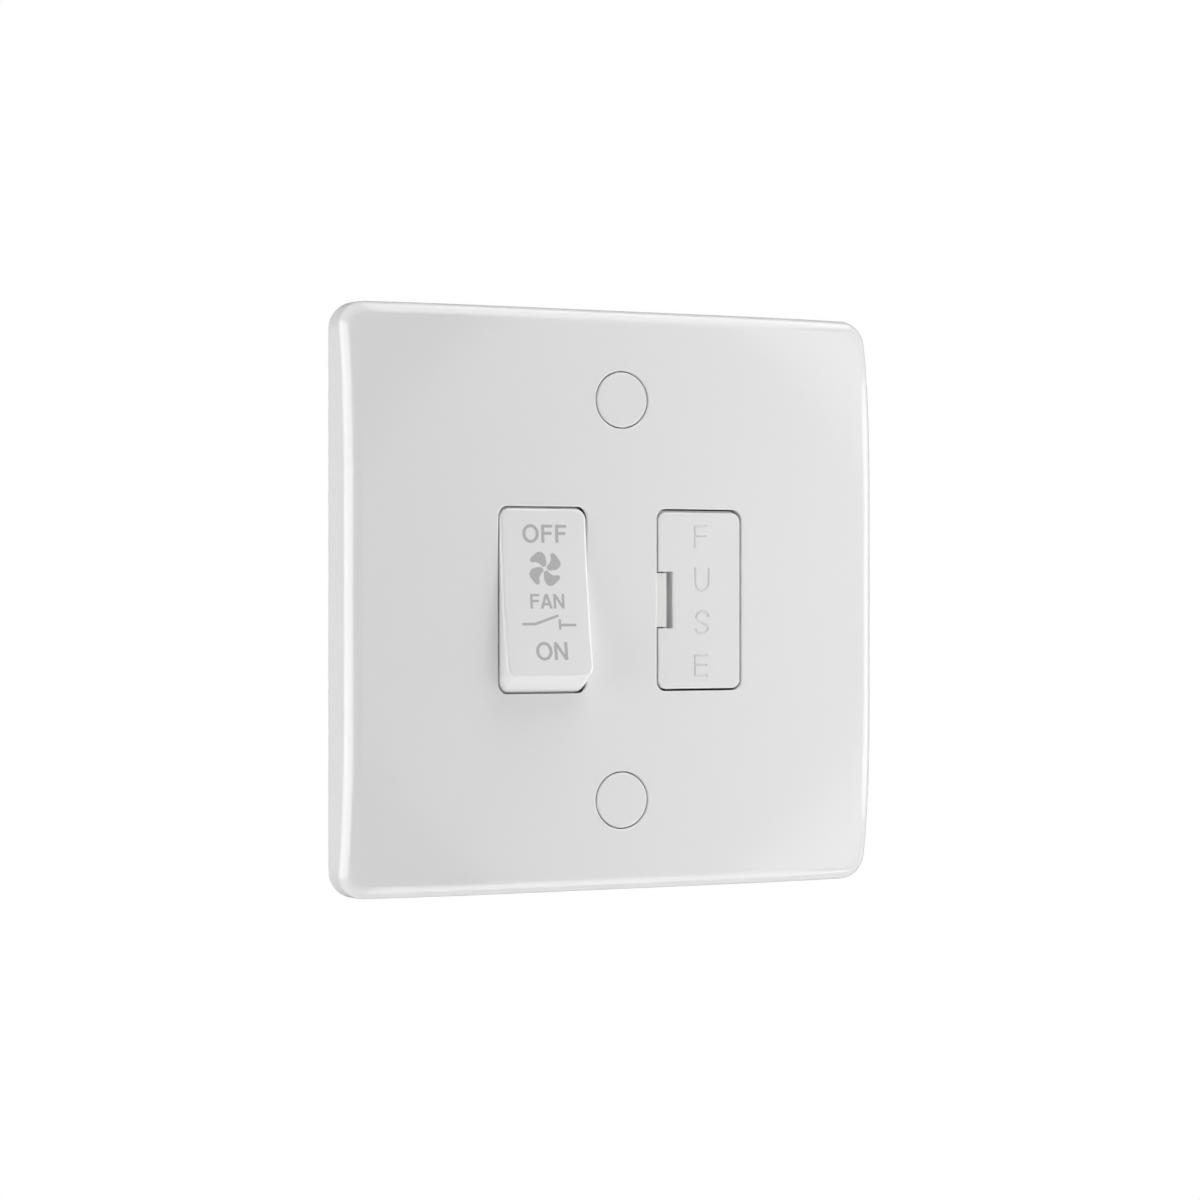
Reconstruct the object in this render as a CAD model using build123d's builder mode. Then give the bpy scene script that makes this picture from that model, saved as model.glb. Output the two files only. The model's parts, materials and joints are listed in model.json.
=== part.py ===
import os
from math import asin, cos, degrees, hypot, radians, sin, sqrt

from build123d import *

os.makedirs("parts", exist_ok=True)

# Face plate, measured outwards from the wall plane
plate_side = 87.9
plate_depth = 8.0
plate_corner_radius = 4.2
plate_draft = 2.0
plate_edge_radius = 2.4
front_wall = 2.2
rim_wall = 2.4
corner_roll_radius = 50.0
opening_edge_radius = 0.25

# Wall box screws and their caps
screw_pitch = 60.3
screw_diameter = 3.5
screw_length = 25.0
screw_head_diameter = 6.6
screw_head_height = 1.9
screw_hole_clearance = 0.25
screw_neck_diameter = 3.0
screw_neck_margin = 0.5
screw_seat = 3.4
cap_diameter = 8.35
cap_thickness = 1.5
cap_gap = 0.16
cap_ledge = 0.5
cap_skirt_wall = 1.1
cap_skirt_length = 0.8
pillar_wall = 1.6
pillar_end = 0.9
rib_thickness = 1.2
rib_height = 3.0

# Openings for the rocker and the fuse carrier
opening_pitch = 26.0
opening_width = 14.3
opening_height = 27.6
opening_corner_radius = 1.5

# Rocker
pivot_depth = 6.7
rocker_tilt = 7.5
rocker_end_gap = 0.26
rocker_side_gap = 0.12
rocker_flush = 0.05
rocker_cover = 1.0
rocker_dish = 0.48
rocker_corner_radius = 1.65
rocker_edge_radius = 0.5
rocker_wall = 1.5
rocker_skin = 2.0
rocker_web = 2.0
axle_radius = 1.5
axle_clearance = 0.06
ear_thickness = 2.2
ear_height = 6.4
ear_gap = 0.3
keeper_gap = 0.1

# Switch poles
pole_pitch = 7.2
tube_radius = 2.3
tube_end = 3.2
tube_top = 3.6
tube_web_inset = 0.34
plunger_radius = 1.3
plunger_clearance = 0.08
plunger_reach = 5.2
plunger_guide = 2.6
plunger_lift = 0.05
spring_wire = 0.4
spring_turns = 4.0
spring_seat_gap = 0.05
bore_top = 2.9
seesaw_tilt = 10.5
seesaw_width = 3.6
seesaw_thickness = 0.9
seesaw_rise = 0.6
seesaw_arm = 8.2
seesaw_tail = 5.0
ridge_radius = 0.8
ridge_clearance = 0.05
tip_radius = 1.25
tip_thickness = 0.7
contact_gap_closed = 0.18
fixed_tip_height = 0.38
fixed_tip_crown = 0.3

# Terminals
strip_thickness = 1.0
strip_width = 3.6
block_width = 5.6
block_length = 6.5
wire_hole_radius = 1.9
block_front_wall = 0.9
block_thread_wall = 2.6
block_gap = 0.2
terminal_screw_radius = 1.75
terminal_thread_gap = 0.05
terminal_head_radius = 2.4
terminal_head_height = 1.6
terminal_backed_out = 2.2
terminal_tip_gap = 0.1
terminal_slot_turn = 35
access_clearance = 0.4
bank_back = 0.4
bank_end = 0.5

# Rear housing
housing_wall = 1.6
housing_floor = 1.8
housing_edge_radius = 0.6
chamber_gap = 0.6
bank_wall = 1.3
bank_front = 0.7
barrier = 1.0
barrier_rise = 4.6
slot_clearance = 0.2
flange_reach = 3.4
flange_radius = 3.0
flange_thickness = 2.0
flange_screw_row = 22.0
boss_radius = 2.8
boss_height = 3.2
housing_screw_radius = 1.45
housing_screw_length = 6.0
housing_screw_head_radius = 2.6
housing_screw_head_height = 1.7
housing_screw_gap = 0.15
housing_slot_turn = 60
pilot_gap = 0.05
pilot_tip_gap = 0.3
slot_width = 0.9
slot_depth = 0.7

# Fuse carrier and fuse
carrier_side_gap = 0.2
carrier_top_gap = 0.5
carrier_bottom_gap = 0.3
carrier_step_gap = 0.2
carrier_step_drop = 1.1
carrier_corner_radius = 1.35
carrier_front = 2.4
carrier_travel = 12.0
carrier_rail = 1.8
carrier_rail_inset = 0.35
carrier_rail_end_gap = 0.9
carrier_lug = 1.2
carrier_catch = 0.75
carrier_lug_gap = 0.25
notch_width = 2.5
notch_height = 8.6
notch_gap = 0.2
notch_ledge_drop = 1.8
lever_width = 1.7
lever_drop = 0.35
saddle_thickness = 1.6
saddle_offset = 4.2
saddle_wrap = 1.8
fuse_diameter = 6.35
fuse_length = 25.4
fuse_cap_length = 5.8
fuse_cap_wall = 0.3
fuse_seat_gap = 0.05
fuse_depth = 7.2
clip_thickness = 0.5
clip_width = 4.0
clip_offset = 9.2
clip_gap = 0.05
clip_height = 2.0

# Places that follow from the sizes above
plate_inside = plate_depth - front_wall
flat_radius = plate_side / 2
roll_angle = degrees(asin((plate_side * sqrt(0.5) + 1 - flat_radius) / corner_roll_radius))
cap_recess_radius = cap_diameter / 2 + cap_gap
head_recess_radius = cap_recess_radius - cap_ledge
pillar_radius = cap_recess_radius + pillar_wall

rocker_x = -opening_pitch / 2
fuse_x = opening_pitch / 2
pivot_n = plate_depth - pivot_depth
opening_radius = hypot(opening_height / 2, pivot_depth)
end_radius = opening_radius - rocker_end_gap
rocker_width = opening_width - 2 * rocker_side_gap
tilt = radians(rocker_tilt)
edge_angle = asin((pivot_depth + rocker_flush) / end_radius) + tilt
skirt_angle = asin((pivot_depth - rocker_cover) / end_radius) - tilt
face_height = end_radius * sin(edge_angle) - rocker_dish
pole_places = {
    "neutral": rocker_x - pole_pitch,
    "switched_live": rocker_x,
    "live": rocker_x + pole_pitch,
}
tube_span = pole_pitch + tube_radius
ear_offset = tube_span + ear_gap + ear_thickness / 2
axle_reach = ear_offset + ear_thickness / 2 + ear_gap

seesaw_top = seesaw_rise + seesaw_thickness
seesaw_n = pivot_n - plunger_reach - plunger_lift - seesaw_top
swing = radians(seesaw_tilt)
closed_drop = seesaw_arm * sin(swing) + (tip_thickness - seesaw_rise) * cos(swing)
strip_top = seesaw_n - closed_drop - contact_gap_closed - fixed_tip_height
floor_n = strip_top - strip_thickness
back_n = floor_n - housing_floor

block_height = block_thread_wall + 2 * wire_hole_radius + block_front_wall
wire_n = floor_n + block_thread_wall + wire_hole_radius
terminal_head_n = floor_n - terminal_backed_out
bank_n = terminal_head_n - terminal_head_height - bank_back
access_radius = terminal_head_radius + access_clearance

chamber_half = end_radius + chamber_gap
house_half = chamber_half + housing_wall
block_start = house_half + block_gap
block_z = block_start + block_length / 2
bank_half = block_start + block_length + bank_end
bay_width = block_width + 2 * block_gap
chamber_left = rocker_x - axle_reach - chamber_gap
fuse_half = opening_width / 2 + carrier_catch + carrier_lug_gap
fuse_left = fuse_x - fuse_half
fuse_right = fuse_x + fuse_half
house_left = chamber_left - housing_wall
house_right = fuse_right + housing_wall
flange_places = [
    (x, z)
    for x in (house_left - flange_reach, house_right + flange_reach)
    for z in (flange_screw_row / 2, -flange_screw_row / 2)
]
flange_front = plate_inside - boss_height
flange_back = flange_front - flange_thickness

fuse_radius = fuse_diameter / 2
fuse_n = plate_depth - fuse_depth
carrier_width = opening_width - 2 * carrier_side_gap
carrier_height = opening_height - carrier_top_gap - carrier_bottom_gap
carrier_z = (carrier_bottom_gap - carrier_top_gap) / 2
carrier_back = plate_depth - carrier_front
step_height = opening_height - carrier_step_gap - carrier_bottom_gap
step_z = (carrier_bottom_gap - carrier_step_gap) / 2
notch_right = fuse_x - carrier_width / 2 + notch_width
lever_left = fuse_x - opening_width / 2 + notch_gap / 2
lever_right = lever_left + lever_width
rail_outer = carrier_width / 2 - carrier_rail_inset
rail_half = carrier_height / 2 - carrier_rail_end_gap
lug_front = plate_inside - carrier_travel - carrier_lug_gap / 2
rail_end = lug_front - carrier_lug
rail_start = notch_height / 2 + 2 * notch_gap
clip_half = fuse_radius + clip_gap

# Each terminal: its place across, above or below, and where its strip ends
terminals = {
    "terminal_neutral_in": (pole_places["neutral"], 1, seesaw_arm - strip_width / 2),
    "terminal_switched_live_in": (pole_places["switched_live"], 1, seesaw_arm - strip_width / 2),
    "terminal_neutral_out": (pole_places["neutral"], -1, -2 * ridge_radius),
    "terminal_switched_live_out": (pole_places["switched_live"], -1, -2 * ridge_radius),
    "terminal_live_out": (pole_places["live"], -1, -2 * ridge_radius),
    "terminal_live_in": (fuse_x, -1, clip_offset - clip_width / 2),
}

# The rocker, its plungers and springs stand in the OFF position
pivot = Vector(rocker_x, -pivot_n, 0)
rocker_out = Vector(0, -cos(tilt), sin(tilt))
rocker_side = Plane(origin=pivot, x_dir=(0, sin(tilt), cos(tilt)), z_dir=(1, 0, 0))


def level(n):
    return Plane.XZ.offset(n)


def rocker_level(height):
    return Plane(origin=pivot + rocker_out * height, x_dir=(1, 0, 0), z_dir=rocker_out)


# Openings and hollows that the plate is cut by
with BuildPart() as rocker_opening:
    with BuildSketch(Plane(origin=pivot, x_dir=(0, 0, 1), z_dir=(1, 0, 0))):
        Circle(opening_radius)
        with Locations((0, pivot_depth)):
            Rectangle(2 * opening_radius, 4 * front_wall, mode=Mode.INTERSECT)
    extrude(amount=opening_width / 2, both=True)
    ends = rocker_opening.edges().filter_by(GeomType.CIRCLE)
    fillet(ends, opening_corner_radius)

with BuildPart() as plate_hollow:
    with BuildSketch(level(0)):
        RectangleRounded(plate_side - 2 * rim_wall, plate_side - 2 * rim_wall, plate_corner_radius - rim_wall / 2)
    extrude(amount=plate_depth)
    with BuildSketch(Plane.XY):
        with BuildLine():
            inner_top = Line((0, -plate_inside), (flat_radius, -plate_inside))
            inner_roll = JernArc(inner_top @ 1, inner_top % 1, corner_roll_radius, roll_angle)
            Polyline(inner_roll @ 1, ((inner_roll @ 1).X, 1), (0, 1), inner_top @ 0)
        make_face()
    revolve(axis=Axis.Y, mode=Mode.INTERSECT)

with BuildPart() as face_plate:
    with BuildSketch(level(0)):
        RectangleRounded(plate_side, plate_side, plate_corner_radius)
    extrude(amount=plate_depth, taper=plate_draft)
    with BuildSketch(Plane.XY):
        with BuildLine():
            top = Line((0, -plate_depth), (flat_radius, -plate_depth))
            roll = JernArc(top @ 1, top % 1, corner_roll_radius, roll_angle)
            Polyline(roll @ 1, ((roll @ 1).X, 1), (0, 1), top @ 0)
        make_face()
    revolve(axis=Axis.Y, mode=Mode.INTERSECT)
    rim = face_plate.edges().filter_by(
        lambda e: e.bounding_box().max.Y < -plate_depth / 3 and e.geom_type != GeomType.CIRCLE
    )
    fillet(rim, plate_edge_radius)
    add(plate_hollow.part, mode=Mode.SUBTRACT)

    # Pillars around the wall box screws
    with BuildSketch(level(pillar_end)):
        with Locations((0, screw_pitch / 2), (0, -screw_pitch / 2)):
            Circle(pillar_radius)
    extrude(amount=plate_depth - front_wall / 2 - pillar_end)
    # Ribs from the pillars to the rim
    with BuildSketch(level(plate_inside - rib_height)):
        with Locations((0, screw_pitch / 2), (0, -screw_pitch / 2)):
            Rectangle(plate_side - 2 * rim_wall, rib_thickness)
        with Locations((0, (screw_pitch + plate_side) / 4), (0, -(screw_pitch + plate_side) / 4)):
            Rectangle(rib_thickness, (plate_side - screw_pitch) / 2 - rim_wall)
    extrude(amount=rib_height + front_wall / 2)
    # Bosses that the housing is screwed to
    with BuildSketch(level(flange_front)):
        with Locations(*flange_places):
            Circle(boss_radius)
    extrude(amount=boss_height + front_wall / 2)
    # Ears that carry the rocker axle
    with BuildSketch(level(pivot_n - 2 * axle_radius)):
        with Locations((rocker_x - ear_offset, 0), (rocker_x + ear_offset, 0)):
            Rectangle(ear_thickness, ear_height)
    extrude(amount=plate_depth - front_wall / 2 - pivot_n + 2 * axle_radius)
    with BuildSketch(Plane(origin=pivot, x_dir=(0, 0, 1), z_dir=(1, 0, 0))):
        Circle(axle_radius + axle_clearance)
        with Locations((0, -2 * axle_radius)):
            Rectangle(2 * (axle_radius + axle_clearance), 4 * axle_radius)
    extrude(amount=axle_reach + chamber_gap, both=True, mode=Mode.SUBTRACT)

    # Openings through the front
    add(rocker_opening.part, mode=Mode.SUBTRACT)
    with BuildSketch(level(plate_inside - 1)):
        with Locations((fuse_x, 0)):
            RectangleRounded(opening_width, opening_height, opening_corner_radius)
    extrude(amount=front_wall + 2, mode=Mode.SUBTRACT)
    with BuildSketch(level(plate_depth)):
        with Locations((0, screw_pitch / 2), (0, -screw_pitch / 2)):
            Circle(cap_recess_radius)
    extrude(amount=-cap_thickness, mode=Mode.SUBTRACT)
    with BuildSketch(level(screw_seat)):
        with Locations((0, screw_pitch / 2), (0, -screw_pitch / 2)):
            Circle(head_recess_radius)
    extrude(amount=plate_depth - screw_seat, mode=Mode.SUBTRACT)
    with BuildSketch(level(0)):
        with Locations((0, screw_pitch / 2), (0, -screw_pitch / 2)):
            Circle(screw_diameter / 2 + screw_hole_clearance)
    extrude(amount=plate_depth, mode=Mode.SUBTRACT)
    with BuildSketch(level(flange_front)):
        with Locations(*flange_places):
            Circle(housing_screw_radius + pilot_gap)
    extrude(amount=housing_screw_length - flange_thickness + pilot_tip_gap, mode=Mode.SUBTRACT)
    front_face = face_plate.faces().filter_by(Axis.Y).sort_by(Axis.Y)[0]
    fillet([e for w in front_face.inner_wires() for e in w.edges()], opening_edge_radius)
face_plate.part.label = "face_plate"
export_step(face_plate.part, "parts/face_plate.step")

# Caps over the wall box screws, and the screws
for place, z in (("top", screw_pitch / 2), ("bottom", -screw_pitch / 2)):
    with BuildPart() as screw_cap:
        with BuildSketch(level(plate_depth - cap_thickness)):
            with Locations((0, z)):
                Circle(cap_diameter / 2)
        extrude(amount=cap_thickness)
        fillet(screw_cap.faces().sort_by(Axis.Y)[0].edges(), opening_edge_radius)
        with BuildSketch(level(plate_depth - cap_thickness)):
            with Locations((0, z)):
                Circle(head_recess_radius - cap_gap)
                Circle(head_recess_radius - cap_gap - cap_skirt_wall, mode=Mode.SUBTRACT)
        extrude(amount=-cap_skirt_length)
    screw_cap.part.label = "screw_cap_" + place
    export_step(screw_cap.part, "parts/screw_cap_" + place + ".step")

    with BuildPart() as fixing_screw:
        with BuildSketch(level(screw_seat)):
            with Locations((0, z)):
                Circle(screw_diameter / 2)
        extrude(amount=-screw_length)
        chamfer(fixing_screw.faces().sort_by(Axis.Y)[-1].edges(), screw_diameter / 8)
        with BuildSketch(level(screw_seat)):
            with Locations((0, z)):
                Circle(screw_diameter)
                Circle(screw_neck_diameter / 2, mode=Mode.SUBTRACT)
        extrude(amount=pillar_end - screw_neck_margin - screw_seat, mode=Mode.SUBTRACT)
        with BuildSketch(level(screw_seat)):
            with Locations((0, z)):
                Circle(screw_head_diameter / 2)
        extrude(amount=screw_head_height)
        fillet(fixing_screw.faces().sort_by(Axis.Y)[0].edges(), screw_head_height / 2)
        with BuildSketch(level(screw_seat + screw_head_height)):
            with Locations((0, z)):
                Rectangle(screw_head_diameter, slot_width)
        extrude(amount=-slot_depth, mode=Mode.SUBTRACT)
    fixing_screw.part.label = "fixing_screw_" + place
    export_step(fixing_screw.part, "parts/fixing_screw_" + place + ".step")

# Rocker with its axle and the three tubes for the plungers
with BuildPart() as rocker:
    with BuildSketch(rocker_side):
        with BuildLine():
            edge_a, edge_o = end_radius * cos(edge_angle), end_radius * sin(edge_angle)
            skirt_a, skirt_o = end_radius * cos(skirt_angle), end_radius * sin(skirt_angle)
            ThreePointArc((-edge_a, edge_o), (0, face_height), (edge_a, edge_o))
            RadiusArc((edge_a, edge_o), (skirt_a, skirt_o), end_radius)
            Line((skirt_a, skirt_o), (-skirt_a, skirt_o))
            RadiusArc((-skirt_a, skirt_o), (-edge_a, edge_o), end_radius)
        make_face()
    extrude(amount=rocker_width / 2, both=True)
    corners = rocker.edges().filter_by(
        lambda e: e.geom_type == GeomType.CIRCLE and abs(e.radius - end_radius) < 0.01
    )
    fillet(corners, rocker_corner_radius)
    face = rocker.faces().sort_by(lambda f: f.center().dot(rocker_out))[-1]
    fillet(face.edges(), rocker_edge_radius)
    with BuildSketch(rocker_side):
        Circle(end_radius - rocker_wall)
        with Locations((0, (face_height - rocker_skin) / 2)):
            Rectangle(2 * end_radius, face_height - rocker_skin, mode=Mode.INTERSECT)
    extrude(amount=rocker_width / 2 - rocker_wall, both=True, mode=Mode.SUBTRACT)
    with BuildSketch(rocker_side):
        with Locations((0, (face_height - rocker_skin / 2) / 2)):
            Rectangle(rocker_web, face_height - rocker_skin / 2)
    extrude(amount=rocker_width / 2 - rocker_wall / 2, both=True)
    with BuildSketch(rocker_side):
        with Locations((0, (tube_top - tube_end) / 2)):
            Rectangle(rocker_web, tube_top + tube_end - 2 * tube_web_inset)
    extrude(amount=pole_pitch, both=True)
    with BuildSketch(rocker_side):
        Circle(axle_radius)
    extrude(amount=axle_reach, both=True)
    with BuildSketch(rocker_level(-tube_end)):
        with GridLocations(pole_pitch, 0, 3, 1):
            Circle(tube_radius)
    extrude(amount=tube_end + tube_top)
    with BuildSketch(rocker_level(-tube_end)):
        with GridLocations(pole_pitch, 0, 3, 1):
            Circle(plunger_radius + plunger_clearance)
    extrude(amount=tube_end + bore_top, mode=Mode.SUBTRACT)
rocker.part.label = "rocker"
export_step(rocker.part, "parts/rocker.step")

plunger_back = plunger_guide - tube_end
for pole, x in pole_places.items():
    with BuildPart() as plunger:
        with BuildSketch(rocker_level(plunger_radius - plunger_reach)):
            with Locations((x - rocker_x, 0)):
                Circle(plunger_radius)
        extrude(amount=plunger_back + plunger_reach - plunger_radius)
        with Locations(rocker_level(plunger_radius - plunger_reach).from_local_coords((x - rocker_x, 0, 0))):
            Sphere(plunger_radius)
    plunger.part.label = "plunger_" + pole
    export_step(plunger.part, "parts/plunger_" + pole + ".step")

    spring_length = bore_top - plunger_back - 2 * spring_seat_gap - spring_wire
    spring_start = plunger_back + spring_seat_gap + spring_wire / 2
    with BuildPart() as spring:
        with BuildLine():
            coil = Helix(
                spring_length / spring_turns,
                spring_length,
                plunger_radius - spring_wire / 2,
                center=rocker_level(spring_start).from_local_coords((x - rocker_x, 0, 0)),
                direction=rocker_out,
            )
        with BuildSketch(Plane(origin=coil @ 0, z_dir=coil % 0)):
            RegularPolygon(spring_wire / 2, 6)
        sweep(path=coil)
    spring.part.label = "plunger_spring_" + pole
    export_step(spring.part, "parts/plunger_spring_" + pole + ".step")

    # See-saw contact, open at its upper end while the rocker is at OFF
    seesaw_side = Plane(origin=(x, -seesaw_n, 0), x_dir=(0, -sin(swing), cos(swing)), z_dir=(1, 0, 0))
    seesaw_out = Vector(0, -cos(swing), -sin(swing))
    with BuildPart() as seesaw:
        with BuildSketch(seesaw_side):
            with Locations(((seesaw_arm + tip_radius - seesaw_tail) / 2, seesaw_rise + seesaw_thickness / 2)):
                Rectangle(seesaw_arm + tip_radius + seesaw_tail, seesaw_thickness)
            Circle(ridge_radius + ridge_clearance, mode=Mode.SUBTRACT)
        extrude(amount=seesaw_width / 2, both=True)
    seesaw.part.label = "seesaw_contact_" + pole
    export_step(seesaw.part, "parts/seesaw_contact_" + pole + ".step")

    tip_place = seesaw_side.from_local_coords((seesaw_arm, seesaw_rise, 0))
    with BuildPart() as moving_tip:
        with BuildSketch(Plane(origin=tip_place, x_dir=(1, 0, 0), z_dir=seesaw_out)):
            Circle(tip_radius)
        extrude(amount=-tip_thickness)
    moving_tip.part.label = "moving_tip_" + pole
    export_step(moving_tip.part, "parts/moving_tip_" + pole + ".step")

with BuildPart() as fixed_tips:
    with BuildSketch(level(strip_top)):
        with Locations(*[(x, seesaw_arm) for x in pole_places.values()]):
            Circle(tip_radius)
    extrude(amount=fixed_tip_height)
    for button in fixed_tips.faces().filter_by(Axis.Y).group_by(Axis.Y)[0]:
        chamfer(button.edges(), fixed_tip_crown, tip_radius / 2)
fixed_tips.part.label = "fixed_tips"
export_step(fixed_tips.part, "parts/fixed_tips.step")

# Brass terminals
for name, (x, side, strip_end) in terminals.items():
    with BuildPart() as terminal:
        with BuildSketch(level(floor_n)):
            with Locations((x, side * block_z)):
                Rectangle(block_width, block_length)
        extrude(amount=block_height)
        with BuildSketch(level(floor_n)):
            with Locations((x, side * (block_z + strip_end) / 2)):
                Rectangle(strip_width, block_z - strip_end)
        extrude(amount=strip_thickness)
        with BuildSketch(Plane.XY.offset(side * block_z)):
            with Locations((x, -wire_n)):
                Circle(wire_hole_radius)
        extrude(amount=block_length, both=True, mode=Mode.SUBTRACT)
        with BuildSketch(level(floor_n)):
            with Locations((x, side * block_z)):
                Circle(terminal_screw_radius + terminal_thread_gap)
        extrude(amount=wire_n - floor_n, mode=Mode.SUBTRACT)
        if strip_end < 0:
            with BuildSketch(Plane(origin=(x, -seesaw_n, 0), x_dir=(0, 0, 1), z_dir=(1, 0, 0))):
                Circle(ridge_radius)
                with Locations((0, (strip_top - seesaw_n) / 2)):
                    Rectangle(2 * ridge_radius, seesaw_n - strip_top)
            extrude(amount=strip_width / 2, both=True)
    terminal.part.label = name
    export_step(terminal.part, "parts/" + name + ".step")

# Strip from the upper fuse clip to the fixed contact of the live pole
with BuildPart() as live_link:
    link_left = pole_places["live"] - strip_width / 2
    link_right = fuse_x + clip_half
    link_low = seesaw_arm - strip_width / 2
    link_high = clip_offset + clip_width / 2
    with BuildSketch(level(floor_n)):
        with Locations(((link_left + link_right) / 2, (link_low + link_high) / 2)):
            Rectangle(link_right - link_left, link_high - link_low)
    extrude(amount=strip_thickness)
live_link.part.label = "live_link"
export_step(live_link.part, "parts/live_link.step")

with BuildPart() as terminal_screws:
    for x, side, strip_end in terminals.values():
        with BuildSketch(level(terminal_head_n)):
            with Locations((x, side * block_z)):
                Circle(terminal_screw_radius)
        extrude(amount=terminal_backed_out + block_thread_wall - terminal_tip_gap)
        with BuildSketch(level(terminal_head_n)):
            with Locations((x, side * block_z)):
                Circle(terminal_head_radius)
        extrude(amount=-terminal_head_height)
        with BuildSketch(level(terminal_head_n - terminal_head_height)):
            with Locations((x, side * block_z)):
                Rectangle(2 * terminal_head_radius, slot_width, rotation=terminal_slot_turn)
        extrude(amount=slot_depth, mode=Mode.SUBTRACT)
terminal_screws.part.label = "terminal_screws"
export_step(terminal_screws.part, "parts/terminal_screws.step")

# Rear housing: chambers for the switch and the fuse, and banks of terminal bays
with BuildPart() as rear_housing:
    house_width = house_right - house_left
    house_x = (house_right + house_left) / 2
    with BuildSketch(level(back_n)):
        with Locations((house_x, 0)):
            RectangleRounded(house_width, 2 * house_half, housing_wall)
    extrude(amount=plate_inside - back_n)
    fillet(rear_housing.faces().sort_by(Axis.Y)[-1].edges(), housing_edge_radius)
    bank_length = bank_half - house_half + housing_edge_radius + housing_wall / 4
    bank_z = bank_half - bank_length / 2
    bank_half_pole = bay_width / 2 + bank_wall
    top_places = [x for x, side, strip_end in terminals.values() if side > 0]
    low_places = [x for x, side, strip_end in terminals.values() if side < 0 and x < 0]
    banks = [
        (min(top_places) - bank_half_pole, max(top_places) + bank_half_pole, 1),
        (min(low_places) - bank_half_pole, max(low_places) + bank_half_pole, -1),
        (fuse_x - bank_half_pole, fuse_x + bank_half_pole, -1),
    ]
    with BuildSketch(level(bank_n)):
        for left, right, side in banks:
            with Locations(((left + right) / 2, side * bank_z)):
                Rectangle(right - left, bank_length)
    extrude(amount=floor_n + block_height + bank_front - bank_n)
    bank_backs = rear_housing.faces().filter_by(Axis.Y).group_by(Axis.Y)[-1].edges()
    bank_uprights = rear_housing.edges().filter_by(Axis.Y)
    bank_corners = bank_uprights.filter_by(lambda e: abs(e.center().Z) > bank_half - bank_end)
    fillet(bank_backs + bank_corners, housing_edge_radius)
    # Flanges for the housing screws
    with BuildSketch(level(flange_back)):
        for x, z in flange_places:
            with Locations((x, z)):
                Circle(flange_radius)
            inner = house_left + housing_wall / 2 if x < house_x else house_right - housing_wall / 2
            with Locations(((x + inner) / 2, z)):
                Rectangle(abs(inner - x), 2 * flange_radius)
    extrude(amount=flange_thickness)
    # Chambers, open towards the plate
    with BuildSketch(level(floor_n)):
        with Locations(((chamber_left + fuse_left - housing_wall) / 2, 0)):
            Rectangle(fuse_left - housing_wall - chamber_left, 2 * chamber_half)
        with Locations((fuse_x, 0)):
            Rectangle(2 * fuse_half, 2 * chamber_half)
    extrude(amount=plate_depth - floor_n, mode=Mode.SUBTRACT)
    # Terminal bays, their strip slots and screw access holes
    with BuildSketch(level(floor_n)):
        for x, side, strip_end in terminals.values():
            with Locations((x, side * (block_z + bank_end))):
                Rectangle(bay_width, block_length + 2 * block_gap + 2 * bank_end)
    extrude(amount=block_height + 2 * bank_front, mode=Mode.SUBTRACT)
    with BuildSketch(level(floor_n)):
        for x, side, strip_end in terminals.values():
            with Locations((x, side * (chamber_half + housing_wall / 2))):
                Rectangle(strip_width + 2 * slot_clearance, 2 * housing_wall)
        with Locations((fuse_left - housing_wall / 2, (link_low + link_high) / 2)):
            Rectangle(2 * housing_wall, link_high - link_low + 2 * slot_clearance)
    extrude(amount=strip_thickness + slot_clearance, mode=Mode.SUBTRACT)
    with BuildSketch(level(bank_n)):
        with Locations(*[(x, side * block_z) for x, side, strip_end in terminals.values()]):
            Circle(access_radius)
    extrude(amount=floor_n - bank_n, mode=Mode.SUBTRACT)
    with BuildSketch(level(flange_back)):
        with Locations(*flange_places):
            Circle(housing_screw_radius + housing_screw_gap)
    extrude(amount=flange_thickness, mode=Mode.SUBTRACT)
    # Barriers between the poles and keepers behind the rocker axle
    with BuildSketch(level(floor_n - housing_floor / 2)):
        with Locations((rocker_x - pole_pitch / 2, 0), (rocker_x + pole_pitch / 2, 0)):
            Rectangle(barrier, 2 * chamber_half + housing_wall)
    extrude(amount=barrier_rise + housing_floor / 2)
    with BuildSketch(level(floor_n - housing_floor / 2)):
        with Locations((rocker_x - ear_offset, 0), (rocker_x + ear_offset, 0)):
            Rectangle(ear_thickness, 2 * axle_radius - keeper_gap)
    extrude(amount=pivot_n - axle_radius - keeper_gap - floor_n + housing_floor / 2)
    # Lever rest beside the carrier, standing in its notch
    with BuildSketch(level(floor_n - housing_floor / 2)):
        with Locations(((fuse_left - housing_wall / 2 + lever_right) / 2, 0)):
            Rectangle(lever_right - fuse_left + housing_wall / 2, notch_height - 2 * notch_gap)
    extrude(amount=plate_inside - notch_gap - floor_n + housing_floor / 2)
    with BuildSketch(level(floor_n)):
        with Locations((lever_left + lever_width / 2, 0)):
            Rectangle(lever_width, notch_height - 2 * notch_gap)
    extrude(amount=plate_depth - lever_drop - floor_n)
    lever_top = rear_housing.faces().sort_by(Axis.Y)[0]
    fillet(lever_top.edges().filter_by(Axis.Z).sort_by(Axis.X)[-1], opening_edge_radius)
rear_housing.part.label = "rear_housing"
export_step(rear_housing.part, "parts/rear_housing.step")

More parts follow.
